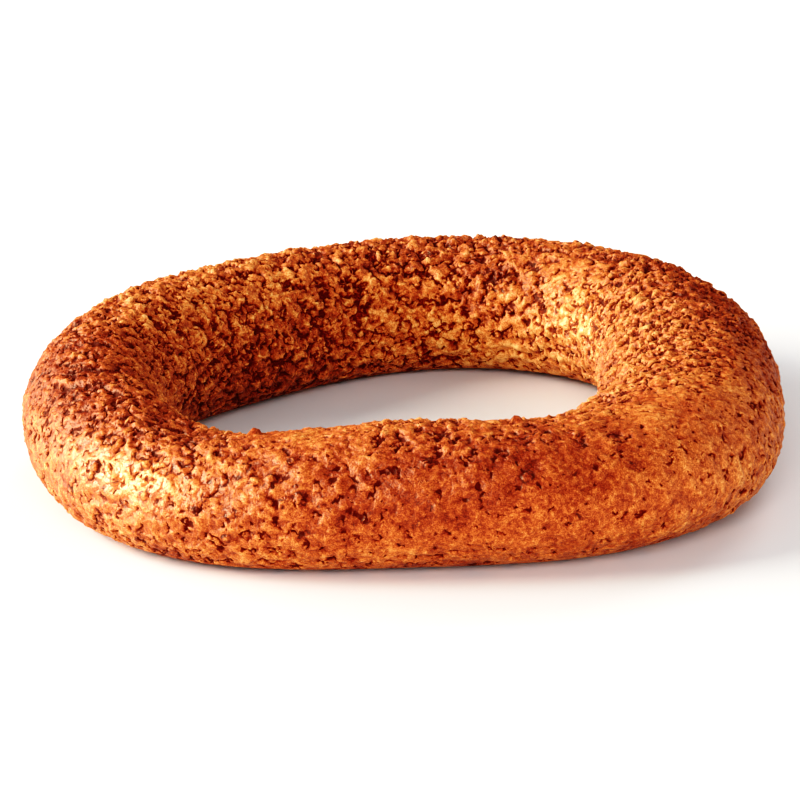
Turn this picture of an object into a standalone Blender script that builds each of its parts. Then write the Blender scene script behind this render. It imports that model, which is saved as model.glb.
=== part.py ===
"""A simit: a ring of bread, rolled by hand, baked on a flat tray and browned all over.

It is one closed solid. A torus is the start, and each of its points is then moved to where the
baked dough is at that place round the ring. Units are metres, with +Z up and the ring on z = 0.
"""

import math

import bpy
import numpy as np

MM = 0.001

# The ring, section by section: twelve cuts 30 degrees apart, counter-clockwise from +X.
# The thick stretch is where the two ends of the rope of dough were pressed together.
CENTRE_RADII = MM * np.array((62, 67.5, 72, 69, 62.5, 64, 68, 70, 68, 62.5, 68.5, 67.5))
HALF_WIDTHS = MM * np.array((20.5, 18.5, 16.5, 16, 16, 16, 16, 16, 16.5, 18, 20.5, 21.5))
HEIGHTS = MM * np.array((30, 30.5, 30, 30.5, 32, 33, 32, 29.5, 27.5, 29, 27.5, 29.5))

WIDEST_AT = 0.47  # the height of the widest place, as a share of the section's height
SINK = 1.0 * MM  # how far the round underside was pressed flat by the tray

# Knuckles in the dough: the angle round the ring, the angle about the section (0 faces away
# from the hole and 90 faces up), how far the knuckle spreads, and how far it stands out.
KNUCKLES = (
    (318, 150, 11 * MM, 1.6 * MM),
    (328, -40, 14 * MM, 1.0 * MM),
)

STEPS_ROUND_RING = 96
STEPS_ROUND_SECTION = 28

CRUST_COLOUR = (0.50, 0.19, 0.05, 1.0)
CRUST_ROUGHNESS = 0.45


def clear_scene():
    for obj in list(bpy.data.objects):
        bpy.data.objects.remove(obj, do_unlink=True)


def round_the_ring(values, angle):
    """The smooth closed wave through equally spaced values, read at an angle."""
    count = len(values)
    waves = np.fft.rfft(values) / count
    size = waves[0].real
    for turns in range(1, len(waves)):
        share = 1 if 2 * turns == count else 2
        size += share * (waves[turns] * np.exp(1j * turns * angle)).real
    return size


def turn_between(angle, degrees):
    """How far an angle lies from one given in degrees, the short way round."""
    return (angle - math.radians(degrees) + math.pi) % math.tau - math.pi


def knuckle_rise(angle, around, radius, half_width):
    """How far the knuckles lift the surface at one place."""
    rise = 0.0
    for at_angle, at_around, spread, height in KNUCKLES:
        along = radius * turn_between(angle, at_angle)
        across = half_width * turn_between(around, at_around)
        rise += height * math.exp(-(along**2 + across**2) / spread**2)
    return rise


def dough_point(angle, around):
    """A point of the ring: angle runs round the ring, around runs about its section."""
    radius = round_the_ring(CENTRE_RADII, angle)
    half_width = round_the_ring(HALF_WIDTHS, angle)
    height = round_the_ring(HEIGHTS, angle)
    widest = WIDEST_AT * height
    rise = knuckle_rise(angle, around, radius, half_width)
    out = (half_width + rise) * math.cos(around)
    if math.sin(around) > 0:
        up = (height - widest + rise) * math.sin(around)
    else:
        up = (widest + SINK) * math.sin(around)
    radius += out
    return (radius * math.cos(angle), radius * math.sin(angle), max(widest + up, 0.0))


def crust_material():
    material = bpy.data.materials.new("browned crust")
    material.use_nodes = True
    shader = material.node_tree.nodes["Principled BSDF"]
    shader.inputs["Base Color"].default_value = CRUST_COLOUR
    shader.inputs["Roughness"].default_value = CRUST_ROUGHNESS
    shader.inputs["Metallic"].default_value = 0.0
    return material


def centre_footprint(mesh):
    """Puts the middle of the bread's footprint over the origin."""
    points = np.array([vertex.co for vertex in mesh.vertices])
    middle = (points.min(axis=0) + points.max(axis=0)) / 2
    for vertex in mesh.vertices:
        vertex.co.x -= middle[0]
        vertex.co.y -= middle[1]


def bread_ring(collection):
    """A torus of unit section, with each point moved to its place on the baked dough."""
    unit_radius = 2.0
    bpy.ops.mesh.primitive_torus_add(
        major_radius=unit_radius,
        minor_radius=1.0,
        major_segments=STEPS_ROUND_RING,
        minor_segments=STEPS_ROUND_SECTION,
    )
    ring = bpy.context.object
    ring.name = "bread_ring"
    ring.data.name = "bread_ring"
    for vertex in ring.data.vertices:
        x, y, z = vertex.co
        angle = math.atan2(y, x)
        around = math.atan2(z, math.hypot(x, y) - unit_radius)
        vertex.co = dough_point(angle, around)
    centre_footprint(ring.data)
    ring.data.materials.append(crust_material())
    for holder in list(ring.users_collection):
        holder.objects.unlink(ring)
    collection.objects.link(ring)


def main():
    clear_scene()
    simit = bpy.data.collections.new("simit")
    bpy.context.scene.collection.children.link(simit)
    bread_ring(simit)


main()
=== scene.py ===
# %% [markdown]
# # A simit: a ring of bread with a blistered, browned crust
# The bread is a hand-rolled rope of dough, closed into a ring, dipped in syrup and baked until
# its crust is deep orange-brown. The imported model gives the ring's size and its soft, uneven
# outline. This script gives that ring its real skin: the puckers and blisters of the crust, the
# splits between them, the colours of the bake, and the glaze that catches the light.

import math

import bmesh
import bpy
import numpy as np
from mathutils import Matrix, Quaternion, Vector


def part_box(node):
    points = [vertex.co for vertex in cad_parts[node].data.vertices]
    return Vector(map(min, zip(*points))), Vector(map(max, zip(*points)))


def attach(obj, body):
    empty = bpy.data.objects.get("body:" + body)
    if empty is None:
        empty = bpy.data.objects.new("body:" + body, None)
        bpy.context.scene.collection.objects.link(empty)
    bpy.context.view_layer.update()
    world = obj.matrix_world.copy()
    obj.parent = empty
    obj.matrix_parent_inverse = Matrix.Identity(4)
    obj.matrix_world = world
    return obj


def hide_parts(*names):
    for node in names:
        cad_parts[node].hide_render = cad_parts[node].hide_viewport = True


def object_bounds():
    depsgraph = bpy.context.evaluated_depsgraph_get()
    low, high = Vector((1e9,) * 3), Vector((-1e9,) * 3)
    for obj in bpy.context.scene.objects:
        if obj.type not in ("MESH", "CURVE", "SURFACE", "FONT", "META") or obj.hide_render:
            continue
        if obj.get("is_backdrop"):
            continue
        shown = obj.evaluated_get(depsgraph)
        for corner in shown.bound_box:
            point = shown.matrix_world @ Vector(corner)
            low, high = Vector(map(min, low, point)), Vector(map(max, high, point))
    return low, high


MM = 0.001
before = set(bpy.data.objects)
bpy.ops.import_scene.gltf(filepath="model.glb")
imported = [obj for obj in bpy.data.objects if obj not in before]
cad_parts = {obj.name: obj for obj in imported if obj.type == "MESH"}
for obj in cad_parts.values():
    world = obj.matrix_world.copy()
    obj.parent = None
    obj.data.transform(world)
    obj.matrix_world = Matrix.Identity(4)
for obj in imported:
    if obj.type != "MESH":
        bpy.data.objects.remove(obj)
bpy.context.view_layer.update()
ring_low, ring_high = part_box("bread_ring")
print("the ring measures", [round(side / MM, 1) for side in ring_high - ring_low], "mm")

# %% [markdown]
# ## The camera
# The ring is seen from the front and a little above, through a long lens, so its near and far
# sides look almost the same size. A long lens far away does this; a wide one close by would
# make the near side swell. The camera leans by a couple of degrees, as a hand-held one does.

# %% Camera
LENS = 202.9
SENSOR = 36
CAMERA_AWAY = 990 * MM
CAMERA_HEIGHT = math.radians(17.97)
CAMERA_LEAN = math.radians(-2.33)
CAMERA_SHIFT = (-0.0039, -0.0097)
AIM = Vector((0, 0, 15 * MM))

scene = bpy.context.scene
camera = bpy.data.objects.new("camera", bpy.data.cameras.new("camera"))
scene.collection.objects.link(camera)
towards_camera = Vector((0, -math.cos(CAMERA_HEIGHT), math.sin(CAMERA_HEIGHT)))
camera.location = AIM + towards_camera * CAMERA_AWAY
camera.rotation_mode = "QUATERNION"
level = towards_camera.to_track_quat("Z", "Y")
camera.rotation_quaternion = level @ Quaternion((0, 0, 1), CAMERA_LEAN)
camera.data.lens = LENS
camera.data.sensor_width = SENSOR
camera.data.shift_x, camera.data.shift_y = CAMERA_SHIFT
scene.camera = camera
print("the camera stands", CAMERA_AWAY / MM, "mm away")

# %% [markdown]
# ## The dough's own directions
# Blisters, smooth patches and darker stretches follow the rope of dough, so the finish needs to
# know where on the rope a point is. Two angles say it: one round the ring, and one round the
# rope's section, where 0 faces outwards, 90 up, 180 into the hole and -90 down. The ring isn't
# quite round, so the rope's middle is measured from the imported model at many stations.

# %% Points of a mesh
def points_of(mesh):
    """Every vertex of a mesh as rows of x, y and z."""
    places = np.empty(len(mesh.vertices) * 3, np.float32)
    mesh.vertices.foreach_get("co", places)
    return places.reshape(-1, 3).astype(float)


# %% Middle line of the rope
STATIONS = 96
MIDDLE_HEIGHT = 14 * MM

cad_points = points_of(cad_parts["bread_ring"].data)
cad_angle = np.degrees(np.arctan2(cad_points[:, 1], cad_points[:, 0])) % 360
cad_radius = np.hypot(cad_points[:, 0], cad_points[:, 1])
nearest_station = np.round(cad_angle / 360 * STATIONS).astype(int) % STATIONS
station_angles = np.arange(STATIONS) * 360 / STATIONS
middle_radii = np.array([
    (cad_radius[nearest_station == s].min() + cad_radius[nearest_station == s].max()) / 2
    for s in range(STATIONS)
])
print("the middle runs", (middle_radii.min() / MM).round(1), "to", (middle_radii.max() / MM).round(1), "mm out")


# %% Angles of a point
def turned(angles, towards):
    """The same angles, each turned by whole rounds until it is within 180 degrees of another."""
    return towards + (angles - towards + 180) % 360 - 180


def dough_angles(points):
    """Degrees round the ring, 0 to 360, and round the section, -180 to 180."""
    ring = np.degrees(np.arctan2(points[:, 1], points[:, 0])) % 360
    middle = np.interp(ring, station_angles, middle_radii, period=360)
    out = np.hypot(points[:, 0], points[:, 1]) - middle
    section = np.degrees(np.arctan2(points[:, 2] - MIDDLE_HEIGHT, out))
    return ring, section


highest = cad_points[cad_points[:, 2].argmax()]
print("the highest point has the angles", [angle.round(1)[0] for angle in dough_angles(highest[None])])


# %% [markdown]
# ## The skin of dough
# The crust is one closed skin on the ring. It could be drawn again as a swept tube, but then it
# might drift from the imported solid. So it is a copy of the solid's own mesh: its loose triangles
# are merged into one skin and paired into four-sided faces, which subdivide evenly.

# %% Smooth ring of dough
MERGE_WITHIN = 0.001 * MM
PAIR_ANGLE = math.radians(40)


def smooth_ring_mesh():
    """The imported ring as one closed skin, without the solid's own shading data."""
    skin = bmesh.new()
    skin.from_mesh(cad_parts["bread_ring"].data)
    bmesh.ops.remove_doubles(skin, verts=skin.verts, dist=MERGE_WITHIN)
    bmesh.ops.join_triangles(
        skin,
        faces=skin.faces,
        angle_face_threshold=PAIR_ANGLE,
        angle_shape_threshold=PAIR_ANGLE,
    )
    bmesh.ops.recalc_face_normals(skin, faces=skin.faces)
    mesh = bpy.data.meshes.new("crust")
    skin.to_mesh(mesh)
    skin.free()
    for name in ("custom_normal", "sharp_face", "sharp_edge"):
        if name in mesh.attributes:
            mesh.attributes.remove(mesh.attributes[name])
    return mesh


crust = bpy.data.objects.new("crust", smooth_ring_mesh())
scene.collection.objects.link(crust)
print("the skin starts with", len(crust.data.polygons), "faces")

# %% [markdown]
# ## Zones of the bake
# No side of a baked ring is like the next: where the dough was stretched the skin stays smooth,
# where it was pressed together it puckers, and the oven browns what stands nearest to it. The
# darker and paler stretches also hold painted light: painted shade on the inner wall and towards
# the bottom of the hole, painted highlights where the glaze shines and painted light near the
# hole's lower back edge. These zones could be painted by hand. Here each is a sum of soft round
# patches at an angle round the ring and an angle round the section, stored on the mesh as an
# attribute that both the relief and the colours read.

# %% Soft patches
def swell(value, centre, spread):
    """1 at the centre and falling softly to 0, for angles in degrees."""
    return np.exp(-(((turned(value, centre) - centre) / spread) ** 2))


def patches(*spots):
    """The sum of (strength, ring angle, its spread, section angle, its spread) over the skin."""
    return sum(
        strength * swell(ring, ring_at, ring_spread) * swell(section, section_at, section_spread)
        for strength, ring_at, ring_spread, section_at, section_spread in spots
    )


# %% Zones
UNDERSIDE = 4 * MM
UNDERSIDE_FADE = 3 * MM

skin_points = points_of(crust.data)
ring, section = dough_angles(skin_points)
ZONES = {
    "rough": 1 - patches(
        (1.0, 288, 36, 0, 70),
        (0.8, 312, 20, 60, 50),
        (0.7, 250, 12, 85, 50),
        (0.8, 51, 10, 128, 22),
        (0.45, 225, 28, 20, 40),
        (0.4, 345, 22, 25, 50),
        (0.5, 212, 22, -5, 26),
        (0.5, 190, 30, 40, 50),
        (0.6, 88, 75, -8, 45),
        (0.5, 58, 16, 192, 28),
    ),
    "pitted": patches(
        (1.0, 200, 34, 35, 60),
        (0.8, 345, 45, 80, 70),
    ),
    "pebbly": 0.05 + patches(
        (0.60, 237, 20, 28, 32),
        (0.50, 60, 26, 158, 40),
        (0.35, 90, 30, 100, 30),
    ),
    "curly": patches(
        (1.0, 135, 50, 165, 45),
    ),
    # Darker stretches: partly a deeper bake, partly painted shade on the inner wall, towards the bottom of the
    # hole and on the right end.
    "dark_bake_and_painted_shade": patches(
        (0.43, 284, 26, 55, 38),
        (0.64, 270, 24, 15, 34),
        (0.32, 306, 18, 15, 36),
        (0.43, 230, 13, 104, 30),
        (1.00, 140, 44, 195, 48),
        (0.50, 196, 28, 125, 45),
        (0.50, 208, 26, 62, 30),
        (0.40, 187, 14, 62, 26),
        (0.50, 118, 22, 222, 20),
        (0.25, 345, 14, 35, 26),
        (0.80, 16, 24, 58, 26),
        (0.45, 32, 14, 76, 14),
        (0.60, 2, 14, 26, 18),
        (0.35, 72, 22, 92, 14),
    ),
    # Paler gold stretches: partly a lighter bake, partly painted highlights where the glaze shines on the left
    # and at the back, and painted light on the lower back edge inside the hole.
    "golden_and_painted_light": patches(
        (0.20, 313, 14, 60, 45),
        (0.30, 313, 16, 10, 24),
        (0.25, 244, 12, 45, 40),
        (0.65, 40, 25, 163, 29),
        (0.40, 38, 13, 162, 18),
        (0.35, 8, 16, 138, 18),
        (0.65, 227, 9, 20, 13),
        (0.30, 350, 14, 105, 25),
        (1.00, 66, 28, 206, 25),
        (0.20, 218, 22, 10, 36),
        (0.30, 130, 18, 120, 18),
        (0.45, 262, 14, 92, 14),
        (0.50, 92, 17, 178, 32),
        (0.30, 311, 12, 84, 22),
        (0.25, 162, 14, 128, 30),
    ),
    "glazed": patches(
        (1.0, 226, 15, 22, 20),
        (1.0, 39, 20, 161, 26),
    ),
    "sunken": patches(
        (1.00, 230, 10, 104, 28),
        (0.50, 349, 6, 165, 20),
        (0.38, 342, 18, 8, 30),
        (0.18, 18, 20, 68, 26),
    ),
    "under": (UNDERSIDE - skin_points[:, 2]) / UNDERSIDE_FADE,
}
for name, amount in ZONES.items():
    zone = crust.data.attributes.new(name, "FLOAT", "POINT")
    zone.data.foreach_set("value", np.clip(amount, 0, 1).astype(np.float32))
    print("zone", name, "covers", (100 * np.clip(amount, 0, 1).mean()).round(), "% of the skin")

# %% [markdown]
# ## A kit for patterns
# The same crust pattern has to shape the mesh and colour it, so that every split is dark where
# it is deep. Geometry Nodes and material nodes share their texture and maths nodes, so a small
# kit that adds nodes to either tree lets one recipe serve both. Places and sizes are in
# millimetres throughout.

# %% Node kit
class Kit:
    """Adds nodes to a tree. A socket given as another node's output becomes a link."""

    def __init__(self, tree):
        self.tree = tree

    def add(self, kind, sockets, **settings):
        node = self.tree.nodes.new(kind)
        for name, value in settings.items():
            setattr(node, name, value)
        for name, value in sockets.items():
            if isinstance(value, bpy.types.NodeSocket):
                self.tree.links.new(value, node.inputs[name])
            else:
                node.inputs[name].default_value = value
        return node

    def maths(self, operation, *values):
        return self.add("ShaderNodeMath", dict(enumerate(values)), operation=operation).outputs[0]

    def plus(self, *values):
        total = values[0]
        for value in values[1:]:
            total = self.maths("ADD", total, value)
        return total

    def minus(self, a, b):
        return self.maths("SUBTRACT", a, b)

    def times(self, a, b):
        return self.maths("MULTIPLY", a, b)

    def step(self, value, start, end, low=0.0, high=1.0):
        """Goes softly from low to high while value goes from start to end."""
        sockets = {"Value": value, "From Min": start, "From Max": end, "To Min": low, "To Max": high}
        node = self.add("ShaderNodeMapRange", sockets, interpolation_type="SMOOTHSTEP")
        return node.outputs["Result"]


# %% Pattern makers
AWAY_FROM_ORIGIN = (412.7, 958.3, 271.9)


def pattern_place(kit, position):
    """The place in millimetres, moved away from the origin, where all waves would line up."""
    scaled = kit.add("ShaderNodeVectorMath", {0: position, "Scale": 1 / MM}, operation="SCALE")
    shift = {0: scaled.outputs[0], 1: AWAY_FROM_ORIGIN}
    return kit.add("ShaderNodeVectorMath", shift, operation="ADD").outputs[0]


def waves(kit, place, size, detail=1.0, roughness=0.5, socket="Fac"):
    """Soft random waves, about size millimetres long, round a middle of 0.5."""
    sockets = {"Vector": place, "Scale": 1 / size, "Detail": detail, "Roughness": roughness}
    return kit.add("ShaderNodeTexNoise", sockets).outputs[socket]


def spots(kit, place, size):
    """Random spots: the distance to the nearest, and three numbers of its own."""
    cells = kit.add("ShaderNodeTexVoronoi", {"Vector": place, "Scale": 1 / size})
    own = kit.add("ShaderNodeSeparateXYZ", {"Vector": cells.outputs["Color"]})
    return cells.outputs["Distance"], own.outputs


def shaken(kit, place, size, reach):
    """The place moved about by waves, so that a pattern loses its straight lines."""
    shake = waves(kit, place, size, 2.0, socket="Color")
    centred = kit.add("ShaderNodeVectorMath", {0: shake, 1: (0.5, 0.5, 0.5)}, operation="SUBTRACT")
    moves = {0: centred.outputs[0], "Scale": 2 * reach}
    scaled = kit.add("ShaderNodeVectorMath", moves, operation="SCALE")
    moved = kit.add("ShaderNodeVectorMath", {0: place, 1: scaled.outputs[0]}, operation="ADD")
    return moved.outputs[0]


# %% [markdown]
# ## The relief of the crust
# Up close the crust is a drawn, puckered skin. Puckers of every size show where it dried and
# shrank, rounded nodules where it gathered, and small round blisters where steam was trapped.
# Inside the ring it creased into narrow worm-like curls. Short splits run between all of these,
# and pits mark where a bubble burst; the colours darken both with painted shade. A sculpting
# brush could draw them, but not twice the same. Here each has its own small pattern of waves,
# and one recipe adds them into a height.

# %% Puckers and nodules
def puckers(kit, place):
    """Soft folds of every size, round 0."""
    return kit.minus(waves(kit, shaken(kit, place, 3.0, 1.2), 2.3, 3.0, 0.60), 0.5)


def curls(kit, place, zones):
    """Narrow raised folds that wander like worms."""
    path = waves(kit, shaken(kit, place, 3.0, 1.4), 3.0, 1.0)
    near = kit.maths("ABSOLUTE", kit.minus(path, 0.5))
    return kit.times(kit.step(near, 0.01, 0.09, 1.0, 0.0), zones["curly"])


def nodules(kit, place, zones):
    """Rounded lumps of skin, 2 to 3 mm wide, in groups where the crust is rough."""
    away, own = spots(kit, shaken(kit, place, 2.6, 1.3), 2.9)
    dome = kit.step(away, 0.12, 0.68, 1.0, 0.0)
    group = kit.plus(waves(kit, place, 5.0, 2.0, 0.6), kit.times(zones["rough"], 0.30))
    group = kit.plus(group, kit.times(zones["pebbly"], 0.14))
    gathered = kit.times(kit.step(group, 0.66, 0.86), kit.step(own[0], 0.25, 0.45))
    return kit.times(dome, gathered)


# %% Blisters
def blisters(kit, place, zones):
    """Separate round pebbles, and a ring along part of each one's foot, a shallow groove that the colours
    darken as painted shade.
    """
    away, own = spots(kit, shaken(kit, place, 1.2, 0.6), 2.9)
    radius = kit.step(own[0], 0.0, 1.0, 0.24, 0.46)
    near = kit.maths("DIVIDE", away, radius)
    there = kit.step(kit.minus(zones["pebbly"], own[1]), 0.0, 0.03)
    bowl = kit.maths("MAXIMUM", kit.minus(1.0, kit.times(near, near)), 0.0)
    dome = kit.times(kit.maths("SQRT", bowl), there)
    # A ring at each blister's foot: a shallow groove, darkened in the colours as painted shade.
    foot = kit.times(kit.step(near, 0.70, 0.98), kit.step(near, 1.0, 1.45, 1.0, 0.0))
    part = kit.step(waves(kit, place, 1.4, 0.0), 0.40, 0.58)
    return dome, kit.times(kit.times(foot, there), part), there


# %% Splits and pits
def folds_and_splits(kit, place, zones):
    """Rounded folds, and the short strokes where the skin parted in the creases between, darkened in the
    colours as painted shade.
    """
    path = waves(kit, shaken(kit, place, 2.0, 1.0), 3.4, 2.0, 0.5)
    off_crease = kit.maths("ABSOLUTE", kit.minus(path, 0.5))
    folds = kit.step(off_crease, 0.0, 0.16)
    line = kit.step(off_crease, 0.012, 0.065, 1.0, 0.0)
    where = kit.plus(waves(kit, place, 2.6, 1.0), kit.times(zones["rough"], 0.23))
    where = kit.plus(where, kit.times(zones["pitted"], 0.08))
    wrinkle = waves(kit, shaken(kit, place, 1.8, 0.9), 2.0, 1.0)
    off_wrinkle = kit.maths("ABSOLUTE", kit.minus(wrinkle, 0.5))
    thin_line = kit.times(kit.step(off_wrinkle, 0.006, 0.045, 1.0, 0.0), kit.times(zones["curly"], 0.8))
    thin_line = kit.times(thin_line, kit.step(waves(kit, place, 2.2, 1.0), 0.45, 0.56))
    splits = kit.maths("MAXIMUM", kit.times(line, kit.step(where, 0.61, 0.73)), thin_line)
    return folds, splits


def pits(kit, place, zones):
    """Small ragged hollows."""
    depth = waves(kit, shaken(kit, place, 1.2, 0.5), 1.5, 2.0, 0.55)
    depth = kit.plus(depth, kit.times(zones["rough"], 0.03), kit.times(zones["pitted"], 0.05))
    depth = kit.minus(depth, kit.times(zones["curly"], 0.06))
    return kit.step(depth, 0.65, 0.76)


# %% Relief recipe
def crust_relief(kit, place, zones):
    """Height in millimetres and the patterns that made it, from a place in millimetres."""
    relief = {
        "lumps": kit.minus(waves(kit, place, 9.0, 2.0), 0.5),
        "swells": kit.minus(waves(kit, place, 4.0, 2.0, 0.6), 0.5),
        "puckers": puckers(kit, place),
        "curls": curls(kit, place, zones),
        "nodules": nodules(kit, place, zones),
        "pits": pits(kit, place, zones),
    }
    relief["folds"], relief["splits"] = folds_and_splits(kit, place, zones)
    relief["blisters"], relief["feet"], relief["there"] = blisters(kit, place, zones)
    drawn = kit.times(zones["rough"], kit.minus(1.0, kit.times(zones["glazed"], 0.55)))
    puckered = kit.times(relief["puckers"], kit.plus(0.50, kit.times(drawn, 1.20)))
    folded = kit.times(relief["folds"], kit.plus(0.05, kit.times(drawn, 0.40)))
    relief["height"] = kit.plus(
        kit.times(relief["lumps"], 1.3),
        kit.times(relief["swells"], 0.8),
        puckered,
        folded,
        kit.times(relief["curls"], 0.35),
        kit.times(relief["nodules"], 0.50),
        kit.times(relief["blisters"], 0.45),
        kit.times(relief["splits"], -0.40),
        kit.times(relief["pits"], -0.36),
        kit.times(relief["feet"], -0.12),
        kit.times(zones["sunken"], -2.6),
        -0.35,
    )
    return relief


# %% [markdown]
# ## Moving the skin
# The skin is subdivided until it can hold a pucker, and Geometry Nodes lifts every point along
# its normal by the recipe's height. Each point first stores where it was, so that the colours
# later read the same place as the relief did. The underside stays flat, because the bread was
# baked on it.

# %% Relief by Geometry Nodes
def relief_tree():
    tree = bpy.data.node_groups.new("crust_relief", "GeometryNodeTree")
    tree.interface.new_socket("Geometry", in_out="INPUT", socket_type="NodeSocketGeometry")
    tree.interface.new_socket("Geometry", in_out="OUTPUT", socket_type="NodeSocketGeometry")
    kit = Kit(tree)
    start = tree.nodes.new("NodeGroupInput")
    end = tree.nodes.new("NodeGroupOutput")
    position = tree.nodes.new("GeometryNodeInputPosition").outputs[0]
    kept = kit.add(
        "GeometryNodeStoreNamedAttribute",
        {"Geometry": start.outputs[0], "Name": "dough", "Value": position},
        data_type="FLOAT_VECTOR",
        domain="POINT",
    )
    place = pattern_place(kit, position)
    zones = {
        name: kit.add("GeometryNodeInputNamedAttribute", {"Name": name}, data_type="FLOAT").outputs[0]
        for name in ZONES
    }
    height = crust_relief(kit, place, zones)["height"]
    rise = kit.times(kit.times(height, kit.minus(1.0, zones["under"])), MM)
    normal = tree.nodes.new("GeometryNodeInputNormal").outputs[0]
    offset = kit.add("ShaderNodeVectorMath", {0: normal, "Scale": rise}, operation="SCALE")
    moved = kit.add("GeometryNodeSetPosition", {"Geometry": kept.outputs[0], "Offset": offset.outputs[0]})
    tree.links.new(moved.outputs[0], end.inputs[0])
    return tree


# %% Move the skin
SUBDIVISIONS = 4


def apply_modifiers(piece):
    """Gives the piece the mesh that its modifiers make, and removes them."""
    graph = bpy.context.evaluated_depsgraph_get()
    shaped = bpy.data.meshes.new_from_object(piece.evaluated_get(graph))
    piece.modifiers.clear()
    piece.data = shaped
    shaped.name = piece.name


rounding = crust.modifiers.new("rounding", "SUBSURF")
rounding.levels = rounding.render_levels = SUBDIVISIONS
relief = crust.modifiers.new("relief", "NODES")
relief.node_group = relief_tree()
apply_modifiers(crust)
print("the moved skin has", len(crust.data.polygons), "faces")

# %% [markdown]
# ## A few large blisters
# Here and there steam raised a blister that stands up like a knob against the edge of the ring.
# A random pattern would put these anywhere. They are few, so each is listed: its angles
# on the dough, its radius and its height in millimetres. Standing up, they also brown more.

# %% Large blisters
LARGE_BLISTERS = (
    (242.5, 97, 1.7, 1.5),
    (291, 107, 1.5, 1.1),
    (78, 90, 1.5, 0.9),
    (71, 87, 1.7, 1.1),
    (66, 86, 1.5, 0.8),
)
BLISTER_BROWNING = 0.7

crust_points = points_of(crust.data)
# The darker stretches, painted shade included, gain each knob's own browning.
browning_and_painted_shade = np.empty(len(crust_points), np.float32)
crust.data.attributes["dark_bake_and_painted_shade"].data.foreach_get("value", browning_and_painted_shade)
ring, section = dough_angles(crust_points)
for ring_at, section_at, radius, height in LARGE_BLISTERS:
    off = np.hypot(turned(ring, ring_at) - ring_at, turned(section, section_at) - section_at)
    middle = off.argmin()
    near = np.linalg.norm(crust_points - crust_points[middle], axis=1) / (radius * MM)
    dome = np.clip(1 - near**2, 0, 1)
    crust_points += dome[:, None] * height * MM * np.array(crust.data.vertices[middle].normal)
    browning_and_painted_shade += BLISTER_BROWNING * dome
crust_points[:, 2] = np.maximum(crust_points[:, 2], 0)
crust.data.vertices.foreach_set("co", crust_points.astype(np.float32).ravel())
crust.data.attributes["dark_bake_and_painted_shade"].data.foreach_set("value", np.minimum(browning_and_painted_shade, 1).astype(np.float32))
print(len(LARGE_BLISTERS), "large blisters raised")

# %% [markdown]
# ## Thinning the skin
# The even grid spends as many faces on the flat underside as on the blisters. Fewer subdivisions
# would lose the blisters too. Decimate takes faces away where the skin is nearly flat, and so
# keeps the detail that shows.

# %% Thin the skin
TRIANGLES = 195_000

thinning = crust.modifiers.new("thinning", "DECIMATE")
thinning.ratio = TRIANGLES / (2 * len(crust.data.polygons))
thinning.use_collapse_triangulate = True
apply_modifiers(crust)
crust.data.polygons.foreach_set("use_smooth", [True] * len(crust.data.polygons))
crust.data.update()
print("the thinned skin has", len(crust.data.polygons), "triangles")

# %% [markdown]
# ## A flat map of the skin
# A finished part may need its colours drawn on a flat picture, so the skin gets a clean map. An
# automatic unwrap would cut a lumpy skin into hundreds of scraps. A ring of dough unrolls well:
# four quarter rings, each a square tile with the seam along the underside. A face takes the tile
# that its middle is in, and a little empty room between tiles keeps their edges apart. The few
# long faces of the underside that would reach past that room are held at the tile's edge.

# %% Flat map
QUARTER = 90
TILE = 0.5
TILE_ROOM = 0.04
TILE_EDGE = 0.004


def on_tile(share, tile):
    """A share of the tile's side as a place on the map, held off the tile's edge."""
    place = TILE_ROOM + share * (TILE - 2 * TILE_ROOM)
    return tile[:, None] * TILE + np.clip(place, TILE_EDGE, TILE - TILE_EDGE)


def unroll(mesh):
    """Lays each quarter of the ring on its own tile, from the places stored as dough."""
    stored = np.empty(len(mesh.vertices) * 3, np.float32)
    mesh.attributes["dough"].data.foreach_get("vector", stored)
    places = stored.reshape(-1, 3).astype(float)
    corners = np.empty(len(mesh.loops), np.int32)
    mesh.loops.foreach_get("vertex_index", corners)
    corners = corners.reshape(-1, 3)
    ring, section = dough_angles(places)
    middle_ring, middle_section = dough_angles(places[corners].mean(axis=1))
    tile = np.minimum(middle_ring // QUARTER, 3)
    from_seam = (middle_section + 90) % 360
    along = turned(ring[corners], middle_ring[:, None]) / QUARTER - tile[:, None]
    around = turned(section[corners] + 90, from_seam[:, None]) / 360
    flat = np.empty((len(corners), 3, 2), np.float32)
    flat[..., 0] = on_tile(along, tile % 2)
    flat[..., 1] = on_tile(around, tile // 2)
    mesh.uv_layers.new(name="OFBake").data.foreach_set("uv", flat.ravel())
    return flat


flat = unroll(crust.data)
print("the flat map spans", flat.min().round(3), "to", flat.max().round(3))

# %% [markdown]
# ## The crust's colours
# A crust browns in a fixed order: straw, gold, orange, chestnut, and last the near-black red of
# burnt sugar. So one colour ramp holds that order, and everything else only says how far along
# it a point is. Hollows, splits, pits and the foot of each blister are darker, as painted shade,
# the raised tops of puckers, curls, nodules and blisters lighter, as painted light, and the zones
# of the bake shift whole stretches, with painted shade and painted highlights among them. Fine
# grain keeps any place from being one flat colour.

# %% Browning ramp
BAKE_COLOURS = (
    (0.00, (0.11, 0.003, 0.0004)),
    (0.16, (0.21, 0.011, 0.0014)),
    (0.32, (0.31, 0.036, 0.007)),
    (0.46, (0.44, 0.083, 0.019)),
    (0.62, (0.60, 0.155, 0.038)),
    (0.78, (0.76, 0.280, 0.075)),
    (1.00, (0.92, 0.500, 0.18)),
)


def colour_ramp(kit, amount, stops):
    ramp = kit.add("ShaderNodeValToRGB", {"Fac": amount})
    elements = ramp.color_ramp.elements
    while len(elements) < len(stops):
        elements.new(0.5)
    for element, (at, colour) in zip(elements, stops):
        element.position = at
        element.color = (*colour, 1)
    return ramp.outputs[0]


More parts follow.
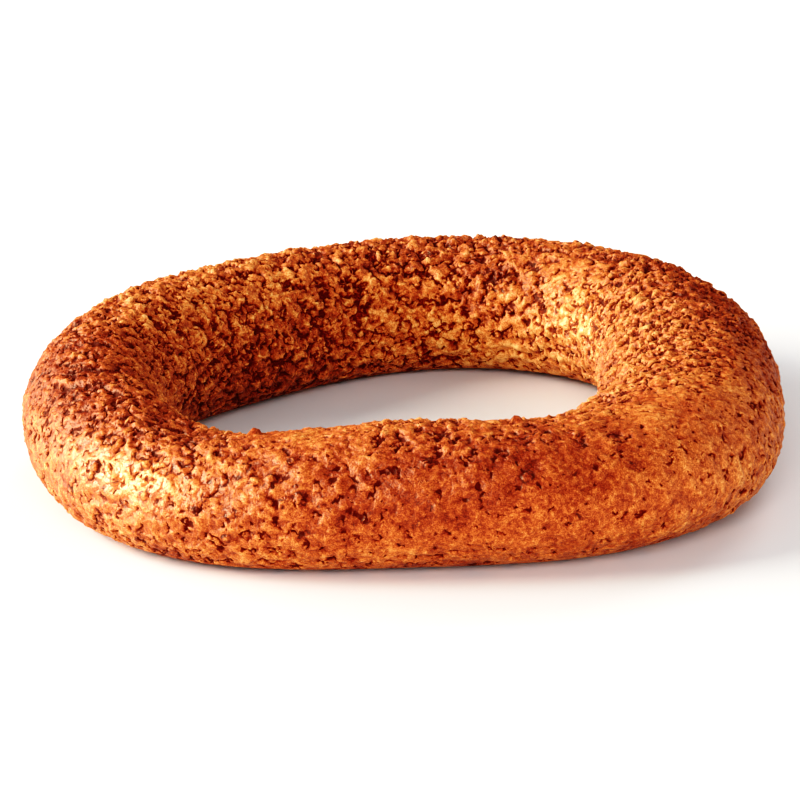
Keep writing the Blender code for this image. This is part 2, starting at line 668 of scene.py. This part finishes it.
# %% Crust material
def crust_material():
    material = bpy.data.materials.new("browned_crust")
    material.use_nodes = True
    kit = Kit(material.node_tree)
    shader = material.node_tree.nodes["Principled BSDF"]
    stored = kit.add("ShaderNodeAttribute", {}, attribute_name="dough").outputs["Vector"]
    place = pattern_place(kit, stored)
    zones = {
        name: kit.add("ShaderNodeAttribute", {}, attribute_name=name).outputs["Fac"] for name in ZONES
    }
    relief = crust_relief(kit, place, zones)
    clouds = kit.minus(waves(kit, place, 12.0, 3.0, 0.6), 0.5)
    mottle = kit.minus(waves(kit, place, 1.0, 2.0, 0.7), 0.5)
    grain = kit.minus(waves(kit, place, 0.30, 2.0, 0.8), 0.5)
    puckered = kit.times(relief["puckers"], kit.plus(0.30, kit.times(zones["rough"], 0.65)))
    puckered = kit.times(puckered, kit.minus(1.0, kit.times(zones["curly"], 0.35)))
    resting = kit.step(zones["under"], 0.7, 1.0)
    scorch = kit.times(kit.step(waves(kit, place, 5.0, 3.0, 0.6), 0.40, 0.62), resting)
    # Tone follows the relief: higher on raised puckers, swells, folds, curls, nodules and blisters, as painted
    # light, and lower in hollows, as painted shade.
    tone = kit.plus(
        0.505,
        kit.times(clouds, 0.45),
        kit.times(puckered, 1.08),
        kit.times(relief["swells"], 0.40),
        kit.times(relief["folds"], 0.06),
        kit.times(mottle, 0.85),
        kit.times(grain, 1.15),
        kit.times(relief["curls"], 0.24),
        kit.times(relief["nodules"], 0.10),
        kit.times(relief["there"], -0.12),
        kit.times(relief["blisters"], 0.12),
        # Splits and pits darker: painted shade in the hollows.
        kit.times(relief["splits"], -0.58),
        kit.times(relief["pits"], -0.45),
        # Each blister's foot darker: painted shade where it meets the skin.
        kit.times(relief["feet"], -0.50),
        # Darker stretches: partly a deeper bake, partly painted shade.
        kit.times(zones["dark_bake_and_painted_shade"], -0.28),
        # Paler gold stretches: partly a lighter bake, partly painted highlights and painted light.
        kit.times(zones["golden_and_painted_light"], 0.30),
        kit.times(scorch, -0.14),
    )
    material.node_tree.links.new(colour_ramp(kit, tone, BAKE_COLOURS), shader.inputs["Base Color"])
    deep = kit.maths("MAXIMUM", relief["splits"], relief["pits"])
    rough = kit.plus(
        0.54,
        kit.times(mottle, 0.3),
        kit.times(deep, 0.5),
        kit.times(resting, 0.25),
        kit.times(zones["glazed"], -0.26),
    )
    material.node_tree.links.new(rough, shader.inputs["Roughness"])
    shader.inputs["Specular IOR Level"].default_value = 0.6
    shader.inputs["Specular Tint"].default_value = (1.0, 0.82, 0.52, 1)
    standing = kit.times(kit.times(relief["height"], 0.6), kit.minus(1.0, resting))
    grit = kit.plus(kit.times(mottle, 0.20), kit.times(grain, 0.14))
    fine = kit.plus(standing, kit.times(grit, kit.minus(1.0, kit.times(zones["glazed"], 0.5))))
    bump = kit.add("ShaderNodeBump", {"Height": fine, "Distance": MM, "Strength": 1.0})
    material.node_tree.links.new(bump.outputs[0], shader.inputs["Normal"])
    return material


crust.data.materials.clear()
crust.data.materials.append(crust_material())
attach(crust, "root")
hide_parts("bread_ring")
print("the crust's material has", len(crust.data.materials[0].node_tree.nodes), "nodes")

# %% [markdown]
# ## The floor
# The ring stands on plain pale paper, wide enough to fill the picture. It could be a curved
# sweep, but seen from this low a flat sheet is enough. It lies a hair below the ring, so the two
# surfaces never share a height.

# %% Floor
FLOOR_HALF_WIDTH = 3.0
FLOOR_BELOW = 0.02 * MM
FLOOR_GREY = 0.85
FLOOR_ROUGHNESS = 0.9

paper = bpy.data.materials.new("pale_paper")
paper.use_nodes = True
paper_shader = paper.node_tree.nodes["Principled BSDF"]
paper_shader.inputs["Base Color"].default_value = (FLOOR_GREY, FLOOR_GREY, FLOOR_GREY, 1)
paper_shader.inputs["Roughness"].default_value = FLOOR_ROUGHNESS

sheet = bmesh.new()
bmesh.ops.create_grid(sheet, x_segments=1, y_segments=1, size=FLOOR_HALF_WIDTH)
floor_mesh = bpy.data.meshes.new("floor")
sheet.to_mesh(floor_mesh)
sheet.free()
floor_mesh.materials.append(paper)
floor = bpy.data.objects.new("floor", floor_mesh)
floor.location.z = -FLOOR_BELOW
scene.collection.objects.link(floor)
floor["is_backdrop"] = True
print("the floor lies", FLOOR_BELOW / MM, "mm below the ring")

# %% [markdown]
# ## The light
# Most of the light comes low from the left, through a large soft lamp, so every pucker shows a
# bright side and a dark one. One lamp alone would leave the other sides black. Weak lamps all
# round open them, and they don't show in the glaze. The glaze has two lamps of its own, which
# make its shine and nothing else, so its strength can be set apart from the crust's brightness.
# A weak lamp at the front does both, for the dull sheen on the smooth front.

# %% Lamp maker
LAMP_AWAY = 1.4


def add_lamp(name, azimuth, elevation, size, power, colour=(1, 1, 1)):
    """A soft round lamp that looks at the ring from an azimuth and an elevation in degrees."""
    light = bpy.data.lights.new(name, "AREA")
    light.shape = "DISK"
    light.size = size
    light.energy = power
    light.color = colour
    lamp = bpy.data.objects.new(name, light)
    turn, rise = math.radians(azimuth), math.radians(elevation)
    towards = Vector((math.cos(turn) * math.cos(rise), math.sin(turn) * math.cos(rise), math.sin(rise)))
    lamp.location = AIM + towards * LAMP_AWAY
    lamp.rotation_mode = "QUATERNION"
    lamp.rotation_quaternion = towards.to_track_quat("Z", "Y")
    scene.collection.objects.link(lamp)
    return lamp


# %% Key, shines and fills
WARM = (1.0, 0.95, 0.82)
WARM_SHINE = (1.0, 0.96, 0.88)

key = add_lamp("key", 180, 27, 0.8, 26, WARM)
sheen = add_lamp("front_sheen", 322, 14, 0.7, 5)
shines = (
    add_lamp("shine_left", 180, 18, 0.4, 52, WARM_SHINE),
    add_lamp("shine_right", 20, 22, 0.4, 2.5),
)
fills = (
    add_lamp("back_left", 150, 20, 0.6, 9),
    add_lamp("front_left", 250, 8, 0.7, 7.5),
    add_lamp("front", 272, 35, 0.7, 6.5),
    add_lamp("back_right", 60, 30, 0.7, 8),
)
for lamp in shines:
    lamp.visible_diffuse = False
for lamp in fills:
    lamp.visible_glossy = False

# %% Room light
ROOM_LIGHT = 0.25

world = bpy.data.worlds.new("studio")
world.use_nodes = True
background = world.node_tree.nodes["Background"]
background.inputs["Color"].default_value = (1, 1, 1, 1)
background.inputs["Strength"].default_value = ROOM_LIGHT
world.cycles_visibility.glossy = False
scene.world = world
print("the room's own light is", ROOM_LIGHT)

# %% [markdown]
# ## The picture's contrast
# A crisp picture of a dark crust keeps its splits almost black and its pale tops bright. Darker
# colours alone could do that, but then the crust would be wrong in any other light. So the
# crust keeps its own colours, and a soft curve deepens only the darks of this picture.

# %% Contrast curve
CONTRAST = (
    (0.02, 0.004),
    (0.05, 0.018),
    (0.10, 0.060),
    (0.15, 0.115),
    (0.25, 0.240),
    (0.50, 0.540),
    (0.75, 0.820),
)

scene.view_settings.view_transform = "Standard"
scene.view_settings.use_curve_mapping = True
mapping = scene.view_settings.curve_mapping
all_colours = mapping.curves[3]
for light_in, light_out in CONTRAST:
    all_colours.points.new(light_in, light_out)
mapping.update()
print("the contrast curve has", len(all_colours.points), "points")

# %% [markdown]
# ## Sizes
# The finish must not change what the ring measures, so the box of the finished ring is printed,
# as the imported ring's size was at the start.

# %% Sizes and finish
visual_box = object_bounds()
for low, high, side in zip(*visual_box, "xyz"):
    print(side, "runs from", round(low / MM, 2), "to", round(high / MM, 2), "mm")
